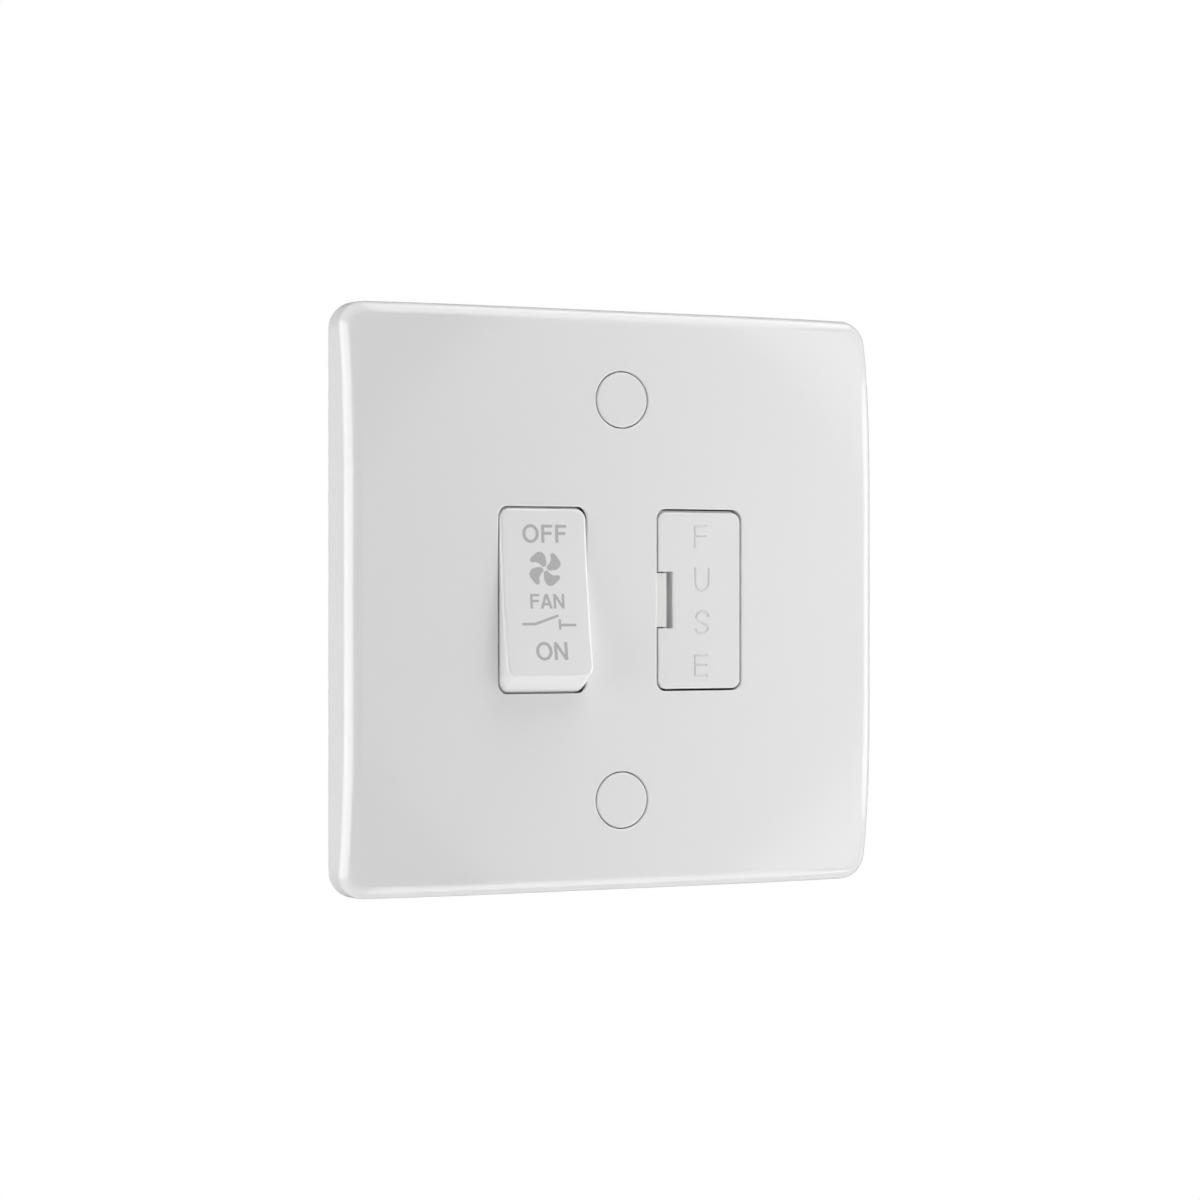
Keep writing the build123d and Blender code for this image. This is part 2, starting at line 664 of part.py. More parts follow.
with BuildPart() as housing_screws:
    with BuildSketch(level(flange_back)):
        with Locations(*flange_places):
            Circle(housing_screw_head_radius)
    extrude(amount=-housing_screw_head_height)
    for head in housing_screws.faces().filter_by(Axis.Y).group_by(Axis.Y)[-1]:
        fillet(head.edges(), housing_screw_head_height / 2)
    with BuildSketch(level(flange_back - housing_screw_head_height)):
        with Locations(*flange_places):
            Rectangle(2 * housing_screw_head_radius, slot_width, rotation=housing_slot_turn)
    extrude(amount=slot_depth, mode=Mode.SUBTRACT)
    with BuildSketch(level(flange_back)):
        with Locations(*flange_places):
            Circle(housing_screw_radius)
    extrude(amount=housing_screw_length)
housing_screws.part.label = "housing_screws"
export_step(housing_screws.part, "parts/housing_screws.step")

# Fuse carrier: a drawer with rails, stop lugs and a saddle that grips the fuse
with BuildPart() as fuse_carrier:
    with BuildSketch(level(carrier_back)):
        with Locations((fuse_x, carrier_z)):
            RectangleRounded(carrier_width, carrier_height, carrier_corner_radius)
        with Locations((fuse_x - carrier_width / 2, 0)):
            Rectangle(2 * notch_width, notch_height, mode=Mode.SUBTRACT)
    extrude(amount=carrier_front)
    fillet(fuse_carrier.faces().sort_by(Axis.Y)[0].edges(), opening_edge_radius)
    # Step behind the top edge, and a ledge at the bottom of the notch
    with BuildSketch(level(carrier_back)):
        with Locations((fuse_x, step_z)):
            RectangleRounded(carrier_width, step_height, carrier_corner_radius)
        with Locations((fuse_x - carrier_width / 2, 0)):
            Rectangle(2 * notch_width, notch_height, mode=Mode.SUBTRACT)
    extrude(amount=carrier_front - carrier_step_drop)
    with BuildSketch(level(carrier_back)):
        with Locations(((lever_right + notch_gap + notch_right) / 2, 0)):
            Rectangle(notch_right - notch_gap - lever_right, notch_height)
    extrude(amount=carrier_front - notch_ledge_drop)
    rail_x = rail_outer - carrier_rail / 2
    left_span = rail_half - rail_start
    left_mid = (rail_half + rail_start) / 2
    with BuildSketch(level(rail_end)):
        with Locations((fuse_x + rail_x, carrier_z)):
            Rectangle(carrier_rail, 2 * rail_half)
        with Locations((fuse_x - rail_x, carrier_z + left_mid), (fuse_x - rail_x, carrier_z - left_mid)):
            Rectangle(carrier_rail, left_span)
    extrude(amount=carrier_back - rail_end + carrier_front / 2)
    lug_width = carrier_rail + opening_width / 2 + carrier_catch - rail_outer
    lug_x = opening_width / 2 + carrier_catch - lug_width / 2
    with BuildSketch(level(rail_end)):
        for across in (1, -1):
            for up in (1, -1):
                with Locations((fuse_x + across * lug_x, carrier_z + up * left_mid)):
                    Rectangle(lug_width, left_span)
    extrude(amount=carrier_lug)
    saddle_right = fuse_x + rail_outer - carrier_rail / 2
    with BuildSketch(level(fuse_n - saddle_wrap)):
        for up in (1, -1):
            with Locations(((notch_right + saddle_right) / 2, up * saddle_offset)):
                Rectangle(saddle_right - notch_right, saddle_thickness)
    extrude(amount=carrier_back - fuse_n + saddle_wrap + carrier_front / 2)
    with BuildSketch(Plane.XY):
        with Locations((fuse_x, -fuse_n)):
            Circle(fuse_radius + fuse_seat_gap)
    extrude(amount=saddle_offset + saddle_thickness, both=True, mode=Mode.SUBTRACT)
fuse_carrier.part.label = "fuse_carrier"
export_step(fuse_carrier.part, "parts/fuse_carrier.step")

# Cartridge fuse and the clips that hold its ends
barrel_half = fuse_length / 2 - fuse_cap_length
with BuildPart() as fuse_barrel:
    with BuildSketch(Plane.XY):
        with Locations((fuse_x, -fuse_n)):
            Circle(fuse_radius - fuse_cap_wall / 4)
    extrude(amount=barrel_half - fuse_seat_gap, both=True)
    with BuildSketch(Plane.XY):
        with Locations((fuse_x, -fuse_n)):
            Circle(fuse_radius - fuse_cap_wall - fuse_seat_gap)
    extrude(amount=fuse_length / 2 - fuse_cap_wall - fuse_seat_gap, both=True)
fuse_barrel.part.label = "fuse_barrel"
export_step(fuse_barrel.part, "parts/fuse_barrel.step")

for place, side in (("upper", 1), ("lower", -1)):
    with BuildPart() as fuse_cap:
        with BuildSketch(Plane.XY.offset(side * barrel_half)):
            with Locations((fuse_x, -fuse_n)):
                Circle(fuse_radius)
        extrude(amount=side * fuse_cap_length)
        with BuildSketch(Plane.XY.offset(side * barrel_half)):
            with Locations((fuse_x, -fuse_n)):
                Circle(fuse_radius - fuse_cap_wall)
        extrude(amount=side * (fuse_cap_length - fuse_cap_wall), mode=Mode.SUBTRACT)
        fillet(fuse_cap.faces().sort_by(Axis.Z)[-1 if side > 0 else 0].edges(), fuse_cap_wall)
    fuse_cap.part.label = "fuse_cap_" + place
    export_step(fuse_cap.part, "parts/fuse_cap_" + place + ".step")

    with BuildPart() as fuse_clip:
        clip_top = fuse_n + clip_height
        with BuildSketch(Plane.XY.offset(side * clip_offset)):
            with Locations((fuse_x, -(strip_top + clip_top) / 2)):
                Rectangle(2 * (clip_half + clip_thickness), clip_top - strip_top)
            with Locations((fuse_x, -(strip_top + clip_top) / 2 - clip_thickness)):
                Rectangle(2 * clip_half, clip_top - strip_top, mode=Mode.SUBTRACT)
        extrude(amount=clip_width / 2, both=True)
        mouth = fuse_clip.edges().filter_by(Axis.Z).group_by(Axis.Y)[0].sort_by(Axis.X)[1:3]
        chamfer(mouth, clip_thickness / 2)
    fuse_clip.part.label = "fuse_clip_" + place
    export_step(fuse_clip.part, "parts/fuse_clip_" + place + ".step")
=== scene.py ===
import json
import math

import bmesh
import bpy
from mathutils import Matrix, Vector
from mathutils.bvhtree import BVHTree


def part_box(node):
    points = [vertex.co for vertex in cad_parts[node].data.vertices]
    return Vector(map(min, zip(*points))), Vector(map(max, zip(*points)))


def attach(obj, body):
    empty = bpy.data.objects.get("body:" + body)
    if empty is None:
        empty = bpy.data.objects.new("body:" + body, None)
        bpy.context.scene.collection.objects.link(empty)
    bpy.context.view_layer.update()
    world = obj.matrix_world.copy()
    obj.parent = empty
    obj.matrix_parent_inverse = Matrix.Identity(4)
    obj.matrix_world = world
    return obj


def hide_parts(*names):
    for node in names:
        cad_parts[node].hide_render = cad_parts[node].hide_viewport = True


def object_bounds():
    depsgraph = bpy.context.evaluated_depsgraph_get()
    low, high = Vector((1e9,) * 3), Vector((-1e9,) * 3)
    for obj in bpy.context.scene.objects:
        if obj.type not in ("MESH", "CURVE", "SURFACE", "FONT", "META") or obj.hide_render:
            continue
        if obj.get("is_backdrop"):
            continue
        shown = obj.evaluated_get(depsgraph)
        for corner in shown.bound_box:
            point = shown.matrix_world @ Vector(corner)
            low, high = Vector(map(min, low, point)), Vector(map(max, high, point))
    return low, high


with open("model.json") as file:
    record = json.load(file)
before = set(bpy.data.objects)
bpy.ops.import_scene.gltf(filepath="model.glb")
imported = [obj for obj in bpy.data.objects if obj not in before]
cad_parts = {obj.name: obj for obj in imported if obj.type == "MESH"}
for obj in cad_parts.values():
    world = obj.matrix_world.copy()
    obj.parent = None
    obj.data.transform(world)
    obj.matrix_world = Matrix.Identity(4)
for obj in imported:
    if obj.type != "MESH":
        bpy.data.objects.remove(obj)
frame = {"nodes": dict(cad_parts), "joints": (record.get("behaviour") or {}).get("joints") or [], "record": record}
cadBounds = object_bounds()
nodes = frame["nodes"]
record = frame["record"]
mm = 0.001
print("frame loaded with", len(nodes), "nodes")


class Wire:
    # a socket of a material's nodes: sums, differences and products of sockets add Math nodes
    def __init__(self, finish, socket):
        self.finish = finish
        self.socket = socket

    def math(self, operation, first, second):
        return self.finish.node("ShaderNodeMath", {"operation": operation}, {0: first, 1: second})

    def __add__(self, other):
        return self.math("ADD", self, other)

    def __sub__(self, other):
        return self.math("SUBTRACT", self, other)

    def __rsub__(self, other):
        return self.math("SUBTRACT", other, self)

    def __mul__(self, other):
        return self.math("MULTIPLY", self, other)

    __radd__ = __add__
    __rmul__ = __mul__


class Finish:
    # one material, with a Principled shader whose even values are set on its own sockets
    def __init__(self, name, **sockets):
        self.material = bpy.data.materials.new(name)
        self.material.use_nodes = True
        self.tree = self.material.node_tree
        self.shader = self.tree.nodes["Principled BSDF"]
        self.set(**sockets)

    def node(self, kind, settings=None, sockets=None, out=0):
        made = self.tree.nodes.new(kind)
        for key, value in (settings or {}).items():
            setattr(made, key, value)
        for key, value in (sockets or {}).items():
            self.feed(made.inputs[key], value)
        return Wire(self, made.outputs[out])

    def feed(self, socket, value):
        if isinstance(value, Wire):
            self.tree.links.new(value.socket, socket)
        else:
            socket.default_value = value

    def set(self, **sockets):
        for key, value in sockets.items():
            self.feed(self.shader.inputs[key.replace("_", " ")], value)

    def place(self):
        return self.node("ShaderNodeTexCoord", out="Object")

    def noise(self, scale, detail=2.0, rough=0.5, stretch=None):
        where = self.place()
        if stretch:
            where = self.node("ShaderNodeMapping", None, {"Vector": where, "Scale": stretch})
        return self.node(
            "ShaderNodeTexNoise",
            None,
            {"Vector": where, "Scale": scale, "Detail": detail, "Roughness": rough},
        )

    def between(self, low, high, mask):
        # the colour that mask mixes from low to high
        return self.node(
            "ShaderNodeMix",
            {"data_type": "RGBA"},
            {"Factor": mask, "A": (*low, 1), "B": (*high, 1)},
            out=2,
        )

    def bump(self, height, distance):
        return self.node("ShaderNodeBump", None, {"Height": height, "Distance": distance, "Strength": 1.0})


# White mouldings: nearly even colour, a faint flow mottle and a very fine grain
mouldings = {
    "plate_white": {"dark": (0.775, 0.775, 0.775), "light": (0.80, 0.80, 0.80), "gloss": 0.10},
    "rocker_white": {"dark": (0.785, 0.785, 0.785), "light": (0.81, 0.81, 0.81), "gloss": 0.10},
    "carrier_white": {"dark": (0.775, 0.775, 0.775), "light": (0.80, 0.80, 0.80), "gloss": 0.11},
}
mouldingGrain = {
    "refraction": 1.52,
    "mottle": 45.0,
    "mottleShare": 0.6,
    "grain": 5200.0,
    "depth": 0.003 * mm,
    "glossSpread": 0.04,
}


def mouldedWhite(name, look):
    finish = Finish(name, IOR=mouldingGrain["refraction"])
    mottle = finish.noise(mouldingGrain["mottle"], detail=3.0)
    grain = finish.noise(mouldingGrain["grain"], detail=1.0)
    share, spread = mouldingGrain["mottleShare"], mouldingGrain["glossSpread"]
    finish.set(
        Base_Color=finish.between(look["dark"], look["light"], mottle * share + grain * (1 - share)),
        Roughness=look["gloss"] - spread / 2 + grain * spread,
        Normal=finish.bump(grain, mouldingGrain["depth"]),
    )
    return finish.material


finishes = {slot: mouldedWhite(slot, look) for slot, look in mouldings.items()}

# Rear housing: off-white, matt, with a spark-eroded texture
housingLook = {
    "refraction": 1.5,
    "dark": (0.735, 0.735, 0.725),
    "light": (0.785, 0.785, 0.775),
    "mottle": 60.0,
    "texture": 1900.0,
    "depth": 0.02 * mm,
    "gloss": 0.48,
    "glossSpread": 0.18,
}


def mattHousing():
    finish = Finish("housing_plastic", IOR=housingLook["refraction"])
    texture = finish.noise(housingLook["texture"], detail=3.0)
    mottle = finish.noise(housingLook["mottle"], detail=3.0)
    finish.set(
        Base_Color=finish.between(housingLook["dark"], housingLook["light"], mottle),
        Roughness=housingLook["gloss"] + texture * housingLook["glossSpread"],
        Normal=finish.bump(texture, housingLook["depth"]),
    )
    return finish.material


finishes["housing_plastic"] = mattHousing()

# Metals: colour, gloss, and how fine and deep the drawn or rolled lines are along x, y and z
metals = {
    "plated_steel": {
        "colour": (0.62, 0.62, 0.60), "gloss": 0.26, "lines": (300, 4000, 300), "depth": 0.002 * mm,
    },
    "spring_steel": {
        "colour": (0.50, 0.50, 0.51), "gloss": 0.30, "lines": (900, 900, 900), "depth": 0.002 * mm,
    },
    "copper_alloy": {
        "colour": (0.70, 0.42, 0.24), "gloss": 0.30, "lines": (3000, 300, 300), "depth": 0.003 * mm,
    },
    "contact_silver": {
        "colour": (0.80, 0.79, 0.76), "gloss": 0.34, "lines": (900, 900, 900), "depth": 0.002 * mm,
    },
    "terminal_brass": {
        "colour": (0.74, 0.55, 0.24), "gloss": 0.28, "lines": (300, 3000, 300), "depth": 0.003 * mm,
    },
    "fuse_nickel": {
        "colour": (0.68, 0.66, 0.62), "gloss": 0.20, "lines": (300, 300, 2600), "depth": 0.002 * mm,
    },
}
metalWear = {"tarnish": 220.0, "dull": 0.78, "tarnishShare": 0.7, "tarnishGloss": 0.12, "lineGloss": 0.06}


def workedMetal(name, look):
    finish = Finish(name, Metallic=1.0)
    lines = finish.noise(1.0, detail=2.0, stretch=look["lines"])
    tarnish = finish.noise(metalWear["tarnish"], detail=4.0, rough=0.6)
    dull = tuple(metalWear["dull"] * c for c in look["colour"])
    share = metalWear["tarnishShare"]
    finish.set(
        Base_Color=finish.between(dull, look["colour"], tarnish * share + lines * (1 - share)),
        Roughness=(
            look["gloss"] + (1 - tarnish) * metalWear["tarnishGloss"] + lines * metalWear["lineGloss"]
        ),
        Normal=finish.bump(lines, look["depth"]),
    )
    return finish.material


for slot, look in metals.items():
    finishes[slot] = workedMetal(slot, look)

# Natural nylon plungers and the fuse's ceramic tube
plainLooks = {
    "plunger_plastic": {
        "dark": (0.70, 0.66, 0.55), "light": (0.78, 0.75, 0.66), "gloss": 0.38, "scale": 400.0,
    },
    "fuse_ceramic": {
        "dark": (0.74, 0.70, 0.60), "light": (0.83, 0.80, 0.71), "gloss": 0.22, "scale": 260.0,
    },
}
speckle = {"glossSpread": 0.08, "depth": 0.004 * mm}


def speckled(name, look):
    finish = Finish(name)
    speck = finish.noise(look["scale"], detail=4.0, rough=0.6)
    finish.set(
        Base_Color=finish.between(look["dark"], look["light"], speck),
        Roughness=look["gloss"] + speck * speckle["glossSpread"],
        Normal=finish.bump(speck, speckle["depth"]),
    )
    return finish.material


for slot, look in plainLooks.items():
    finishes[slot] = speckled(slot, look)

for part in record["subparts"]:
    mesh = nodes[part["node"]].data
    mesh.materials.clear()
    mesh.materials.append(finishes[part["material_slot"]])
print("finishes made:", len(finishes))

# Pieces made here are meshes in millimetres until they are placed
mergeGap = 0.0005  # millimetres
sharpTurn = math.radians(40)


def meshOf(curve):
    holder = bpy.data.objects.new(curve.name, curve)
    mesh = bpy.data.meshes.new_from_object(holder)
    bpy.data.objects.remove(holder)
    return mesh


def outline(curve, points, rounded=False, closed=True):
    # one spline through the points, straight between them or rounded through them
    spline = curve.splines.new("BEZIER" if rounded else "POLY")
    anchors = spline.bezier_points if rounded else spline.points
    anchors.add(len(points) - 1)
    for anchor, (x, y) in zip(anchors, points):
        if rounded:
            anchor.co = (x, y, 0)
            anchor.handle_left_type = anchor.handle_right_type = "AUTO"
        else:
            anchor.co = (x, y, 0, 1)
    spline.use_cyclic_u = closed


def ellipse(width, height, centre, count=8):
    turns = [math.tau * step / count for step in range(count)]
    return [(centre[0] + width / 2 * math.cos(t), centre[1] + height / 2 * math.sin(t)) for t in turns]


def copyOf(node):
    form = bmesh.new()
    form.from_mesh(nodes[node].data)
    bmesh.ops.scale(form, vec=Vector((1, 1, 1)) / mm, verts=form.verts)
    bmesh.ops.remove_doubles(form, verts=form.verts, dist=mergeGap)
    return form


def smoothed(form):
    # smooth faces, with the edges that turn sharply left sharp
    for face in form.faces:
        face.smooth = True
    for edge in form.edges:
        edge.smooth = edge.calc_face_angle(0) < sharpTurn
    return form


def addPiece(name, form, finish, body):
    mesh = bpy.data.meshes.new(name)
    form.to_mesh(mesh)
    form.free()
    mesh.materials.append(finish)
    piece = bpy.data.objects.new(name, mesh)
    bpy.context.scene.collection.objects.link(piece)
    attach(piece, body)
    return piece


# Words and signs printed on the rocker: x across and y along its face, from its pivot
rockerPrint = {
    "tilt": math.radians(7.5),
    "proud": 0.012,
    "sunk": 0.03,
    "castFrom": 20,
    "mergeGap": 0.001,
    "stem": 0.18,
    "bar": 0.16,
    "words": (
        {"letters": "OFF", "left": -3.47, "base": 7.52, "height": 2.70, "gaps": (0.42, 0.46)},
        {"letters": "FAN", "left": -2.66, "base": -2.34, "height": 2.19, "gaps": (0.16, 0.16)},
        {"letters": "ON", "left": -2.23, "base": -10.08, "height": 2.70, "gaps": (0.32,)},
    ),
    "letterWidths": {"O": 0.97, "F": 0.67, "A": 0.90, "N": 0.80},
    "overshoot": 0.015,
    "armHeight": 0.44,  # shares of a letter's height
    "crossbar": 0.22,
    "armShare": 0.93,  # share of a letter's width
    "diagonal": 1.75,  # shares of a letter's stem
    "foot": 1.12,
    "apex": 0.6,
    "fanCentre": (-0.02, 3.62),
    "fanBlades": 4,
    "blade": (
        (-0.27, 0.28), (0.14, 0.47), (0.22, 1.25), (-0.10, 2.20), (-0.77, 2.55),
        (-1.72, 2.08), (-2.36, 1.26), (-2.17, 0.99), (-1.40, 1.00), (-0.72, 0.64),
    ),
    "line": 0.39,
    "contactArm": ((-4.16, -4.66), (-2.12, -4.66), (1.75, -3.38)),
    "contactTee": {"x": 1.92, "top": -3.95, "low": -5.51, "lead": -4.82, "end": 4.57},
}


def letterOutlines(letter):
    # outlines of a plain upright letter whose height is 1, and whether each is round
    wide, stem, bar = rockerPrint["letterWidths"][letter], rockerPrint["stem"], rockerPrint["bar"]
    if letter == "O":
        tall = 1 + 2 * rockerPrint["overshoot"]
        middle = (wide / 2, 0.5)
        outer = ellipse(wide, tall, middle)
        return [(outer, True), (ellipse(wide - 2 * stem, tall - 2 * bar, middle), True)]
    if letter == "F":
        low, arm = rockerPrint["armHeight"], rockerPrint["armShare"] * wide
        return [([(0, 0), (stem, 0), (stem, low), (arm, low), (arm, low + bar), (stem, low + bar),
                  (stem, 1 - bar), (wide, 1 - bar), (wide, 1), (0, 1)], False)]
    if letter == "N":
        drop = rockerPrint["diagonal"] * stem
        return [([(0, 0), (stem, 0), (stem, 1 - drop), (wide - stem, 0), (wide, 0), (wide, 1),
                  (wide - stem, 1), (wide - stem, drop), (stem, 1), (0, 1)], False)]
    foot, low = rockerPrint["foot"] * stem, rockerPrint["crossbar"]
    lean = wide / 2 - rockerPrint["apex"] * stem
    peak = (wide / 2 - foot) / lean
    high = low + bar
    legs = [(0, 0), (lean, 1), (wide - lean, 1), (wide, 0), (wide - foot, 0),
            (wide - foot - lean * low, low), (foot + lean * low, low), (foot, 0)]
    hole = [(foot + lean * high, high), (wide / 2, peak), (wide - foot - lean * high, high)]
    return [(legs, False), (hole, False)]


def lineOutline(points, width):
    # both sides of a line with mitred corners
    places = [Vector(point) for point in points]
    runs = [(b - a).normalized() for a, b in zip(places, places[1:])]
    sides = []
    for before, after, place in zip(runs[:1] + runs, runs + runs[-1:], places):
        middle = (before + after).normalized()
        across = Vector((-middle.y, middle.x)) * width / 2 / middle.dot(after)
        sides.append((place + across, place - across))
    return [tuple(left) for left, right in sides] + [tuple(right) for left, right in reversed(sides)]


def teeOutline(tee, half):
    # the fixed contact: an upright bar whose lead runs off to the right
    left, right, over, under = tee["x"] - half, tee["x"] + half, tee["lead"] + half, tee["lead"] - half
    return [(left, tee["top"]), (right, tee["top"]), (right, over), (tee["end"], over),
            (tee["end"], under), (right, under), (right, tee["low"]), (left, tee["low"])]


def printedMarks():
    marks = bpy.data.curves.new("marks", "CURVE")
    marks.dimensions = "2D"
    marks.fill_mode = "BOTH"
    marks.extrude = (rockerPrint["proud"] + rockerPrint["sunk"]) / 2
    for word in rockerPrint["words"]:
        x, base, height = word["left"], word["base"], word["height"]
        for letter, gap in zip(word["letters"], word["gaps"] + (0,)):
            for points, rounded in letterOutlines(letter):
                outline(marks, [(x + px * height, base + py * height) for px, py in points], rounded)
            x += rockerPrint["letterWidths"][letter] * height + gap
    centre = Vector(rockerPrint["fanCentre"])
    for turn in range(rockerPrint["fanBlades"]):
        spun = Matrix.Rotation(math.tau * turn / rockerPrint["fanBlades"], 2)
        blade = [tuple(centre + spun @ Vector(point)) for point in rockerPrint["blade"]]
        outline(marks, blade, rounded=True)
    outline(marks, lineOutline(rockerPrint["contactArm"], rockerPrint["line"]))
    outline(marks, teeOutline(rockerPrint["contactTee"], rockerPrint["line"] / 2))
    return meshOf(marks)


# Grey ink that lies a little unevenly
inkLook = {
    "refraction": 1.5,
    "dark": (0.405, 0.405, 0.405),
    "light": (0.455, 0.455, 0.455),
    "spread": 2600.0,
    "gloss": 0.30,
    "glossSpread": 0.10,
    "depth": 0.003 * mm,
}


def inkFinish():
    finish = Finish("markInk", IOR=inkLook["refraction"])
    spread = finish.noise(inkLook["spread"], detail=2.0)
    finish.set(
        Base_Color=finish.between(inkLook["dark"], inkLook["light"], spread),
        Roughness=inkLook["gloss"] + spread * inkLook["glossSpread"],
        Normal=finish.bump(spread, inkLook["depth"]),
    )
    return finish.material


def printOnRocker():
    # the marks laid on the rocker's skin, along its tilted face from the pivot
    skin = bmesh.new()
    skin.from_mesh(nodes["rocker"].data)
    rockerSkin = BVHTree.FromBMesh(skin)
    skin.free()
    hinge = next(joint for joint in frame["joints"] if joint["name"] == "rocker_hinge")
    pivot = Vector(hinge["pos_m"])
    tilt = rockerPrint["tilt"]
    outward = Vector((0, -math.cos(tilt), math.sin(tilt)))
    upward = Vector((0, math.sin(tilt), math.cos(tilt)))
    middleLift = (rockerPrint["proud"] - rockerPrint["sunk"]) / 2
    form = bmesh.new()
    form.from_mesh(printedMarks())
    bmesh.ops.remove_doubles(form, verts=form.verts, dist=rockerPrint["mergeGap"])
    for vert in form.verts:
        across, along, lift = vert.co * mm
        above = pivot + Vector((across, 0, 0)) + upward * along + outward * rockerPrint["castFrom"] * mm
        vert.co = rockerSkin.ray_cast(above, -outward)[0] + outward * (lift + middleLift * mm)
    bmesh.ops.recalc_face_normals(form, faces=form.faces)
    return form


addPiece("rocker_print", printOnRocker(), inkFinish(), "rocker_body")
print("rocker printed")

# Letters engraved in the fuse carrier with round-bottomed strokes: x across and z up the face
carrierLetters = {
    "width": 0.56,
    "depth": 0.19,
    "strokes": (
        ((12.13, 8.09), (12.13, 11.23), (14.09, 11.23)),
        ((14.20, -8.44), (12.15, -8.44), (12.15, -11.58), (14.20, -11.58)),
    ),
    "bars": (((12.13, 9.69), (13.85, 9.69)), ((12.15, -9.91), (14.05, -9.91))),
    "ballShare": 0.985,
    "ballFacets": (32, 16),
    "rodRounds": 10,
    "bowl": {"centre": (13.35, 2.61), "radius": 1.15, "top": 4.72, "steps": 12},
    "serpent": {"upper": (13.41, -2.56), "lower": (13.32, -4.27), "reach": (1.05, 0.82),
                "turns": (12, 198), "steps": 6},
}


def cupPoints(bowl):
    # the U: down, half a turn round the bowl, and up
    turns = [math.pi * step / bowl["steps"] for step in range(bowl["steps"] + 1)]
    x, z = bowl["centre"]
    bend = [(x - bowl["radius"] * math.cos(turn), z - bowl["radius"] * math.sin(turn)) for turn in turns]
    return [(bend[0][0], bowl["top"])] + bend + [(bend[-1][0], bowl["top"])]


def serpentPoints(bends):
    # the S: an upper bend, and a lower one that is the same bend turned half round and run backwards
    first, last = (math.radians(turn) for turn in bends["turns"])
    wide, tall = bends["reach"]
    shares = [step / bends["steps"] for step in range(bends["steps"] + 1)]
    points = []
    for (x, z), side, run in ((bends["upper"], 1, shares), (bends["lower"], -1, reversed(shares))):
        for share in run:
            turn = first + (last - first) * share
            points.append((x + side * wide * math.cos(turn), z + side * tall * math.sin(turn)))
    return points


def letterCutter():
    # round rods along the strokes, with a ball at each free end
    half, depth = carrierLetters["width"] / 2, carrierLetters["depth"]
    rod = (half * half + depth * depth) / (2 * depth)
    cup, serpent = cupPoints(carrierLetters["bowl"]), serpentPoints(carrierLetters["serpent"])
    rods = bpy.data.curves.new("rods", "CURVE")
    rods.dimensions = "3D"
    rods.bevel_depth = rod
    rods.bevel_resolution = carrierLetters["rodRounds"]
    rods.use_fill_caps = True
    for stroke in carrierLetters["strokes"] + carrierLetters["bars"] + (cup,):
        outline(rods, stroke, closed=False)
    outline(rods, serpent, rounded=True, closed=False)
    form = bmesh.new()
    form.from_mesh(meshOf(rods))
    ends = [stroke[end] for stroke in carrierLetters["strokes"] + (cup, serpent) for end in (0, -1)]
    ends += [bar[-1] for bar in carrierLetters["bars"]]
    around, along = carrierLetters["ballFacets"]
    for x, y in ends:
        bmesh.ops.create_uvsphere(
            form, u_segments=around, v_segments=along, radius=rod * carrierLetters["ballShare"],
            matrix=Matrix.Translation((x, y, 0)),
        )
    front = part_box("fuse_carrier")[0][1] / mm
    upright = Matrix.Translation((0, front - rod + depth, 0)) @ Matrix.Rotation(math.pi / 2, 4, "X")
    bmesh.ops.transform(form, matrix=upright, verts=form.verts)
    return form


def engravedCarrier():
    holders = []
    for name, form in (("carrierBlank", copyOf("fuse_carrier")), ("letterCutter", letterCutter())):
        mesh = bpy.data.meshes.new(name)
        form.to_mesh(mesh)
        form.free()
        holders.append(bpy.data.objects.new(name, mesh))
        bpy.context.scene.collection.objects.link(holders[-1])
    blank, cutter = holders
    cut = blank.modifiers.new("cut", "BOOLEAN")
    cut.operation = "DIFFERENCE"
    cut.solver = "EXACT"
    cut.use_self = True
    cut.object = cutter
    bpy.context.view_layer.update()
    graph = bpy.context.evaluated_depsgraph_get()
    form = bmesh.new()
    form.from_mesh(bpy.data.meshes.new_from_object(blank.evaluated_get(graph)))
    for holder in holders:
        bpy.data.objects.remove(holder)
    bmesh.ops.scale(form, vec=Vector((mm, mm, mm)), verts=form.verts)
    return smoothed(form)


carrier = addPiece(
    "engraved_carrier", engravedCarrier(), finishes["carrier_white"], "carrier_body"
)
evened = carrier.modifiers.new("evened", "WEIGHTED_NORMAL")
evened.keep_sharp = True
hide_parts("fuse_carrier")
print("fuse carrier engraved")

# Threads of the fixing screws: y runs from the neck to the tip, and radii are from the screw's middle
screwThread = {
    "neckEnd": -0.45,
    "core": 1.38,
    "crest": 1.74,
    "sunk": 0.04,
    "pitch": 0.6,
    "rootHalf": 0.27,
    "crestHalf": 0.04,
    "tipChamfer": 0.42,
    "runOut": 0.35,
    "steps": 24,
}


def wind(form, middle, points, turns, steps, rise=0.0):
    # turn a profile of radii and heights about the screw: with a rise for each step it is closed and climbs
    verts = [form.verts.new(middle + Vector((radius, y, 0))) for radius, y in points]
    pairs = list(zip(verts, verts[1:]))
    if rise:
        pairs.append((verts[-1], verts[0]))
        form.faces.new(verts)
    edges = [form.edges.get(pair) or form.edges.new(pair) for pair in pairs]
    wound = bmesh.ops.spin(
        form, geom=verts + edges, cent=middle, axis=(0, 1, 0), dvec=(0, rise, 0),
        angle=math.tau * turns, steps=steps, use_merge=not rise,
    )
    if rise:
        form.faces.new([last for last in wound["geom_last"] if isinstance(last, bmesh.types.BMVert)])


